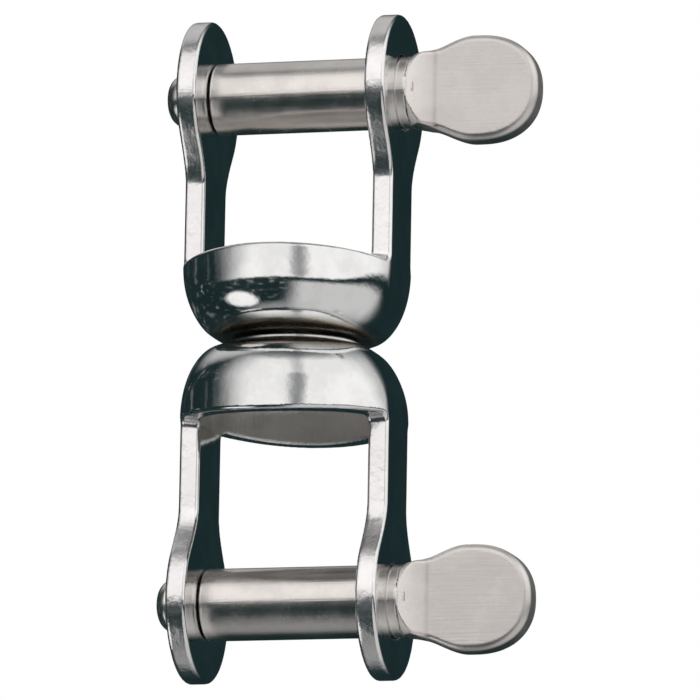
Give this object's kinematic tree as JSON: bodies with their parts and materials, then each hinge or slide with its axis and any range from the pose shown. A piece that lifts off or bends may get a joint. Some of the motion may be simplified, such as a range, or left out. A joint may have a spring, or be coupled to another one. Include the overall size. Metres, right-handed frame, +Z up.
{
  "type": "anchor swivel",
  "caption": "Stamped stainless jaw-and-jaw swivel: shackles with round cups riveted back to back, each closed by a screw pin with a flat thumb paddle.",
  "frame": {"origin": "middle of the upper pin's axis, halfway between the ears", "axes": "+Z up the swivel axis, from the lower shackle to the upper one; +X along the pins, towards their paddles; the cups are longest along Y"},
  "size_m": [0.0425, 0.0272, 0.0742],
  "materials": {
    "polished_plate": "stamped stainless plate polished to a mirror, with soft stamping waves",
    "satin_pin": "satin stainless with a fine grain along the shank and pressed flat paddle faces",
    "rivet_steel": "formed stainless with light hammer marks",
    "washer_steel": "plain punched stainless sheet"
  },
  "bodies": {
    "upper_shackle": {"upper_shackle": "polished_plate"},
    "lower_shackle": {"lower_shackle": "polished_plate"},
    "swivel_rivet": {"swivel_rivet": "rivet_steel"},
    "thrust_washer": {"thrust_washer": "washer_steel"},
    "tail_washer": {"tail_washer": "washer_steel"},
    "upper_pin": {"upper_pin": "satin_pin"},
    "lower_pin": {"lower_pin": "satin_pin"}
  },
  "joints": [
    {"name": "swivel", "type": "hinge", "parent": "upper_shackle", "child": "lower_shackle", "pos_m": [0, 0, -0.0281], "axis": [0, 0, 1], "continuous": true},
    {"name": "rivet_spin", "type": "hinge", "parent": "upper_shackle", "child": "swivel_rivet", "pos_m": [0, 0, -0.0281], "axis": [0, 0, 1], "continuous": true},
    {"name": "thrust_washer_spin", "type": "hinge", "parent": "upper_shackle", "child": "thrust_washer", "pos_m": [0, 0, -0.0281], "axis": [0, 0, 1], "continuous": true},
    {"name": "tail_washer_spin", "type": "hinge", "parent": "lower_shackle", "child": "tail_washer", "pos_m": [0, 0, -0.03165], "axis": [0, 0, 1], "continuous": true},
    {"name": "upper_pin_slide", "type": "slide", "parent": "upper_shackle", "child": "upper_pin", "axis": [1, 0, 0], "range_m": [0, 0.03]},
    {"name": "lower_pin_slide", "type": "slide", "parent": "lower_shackle", "child": "lower_pin", "axis": [1, 0, 0], "range_m": [0, 0.03]}
  ]
}
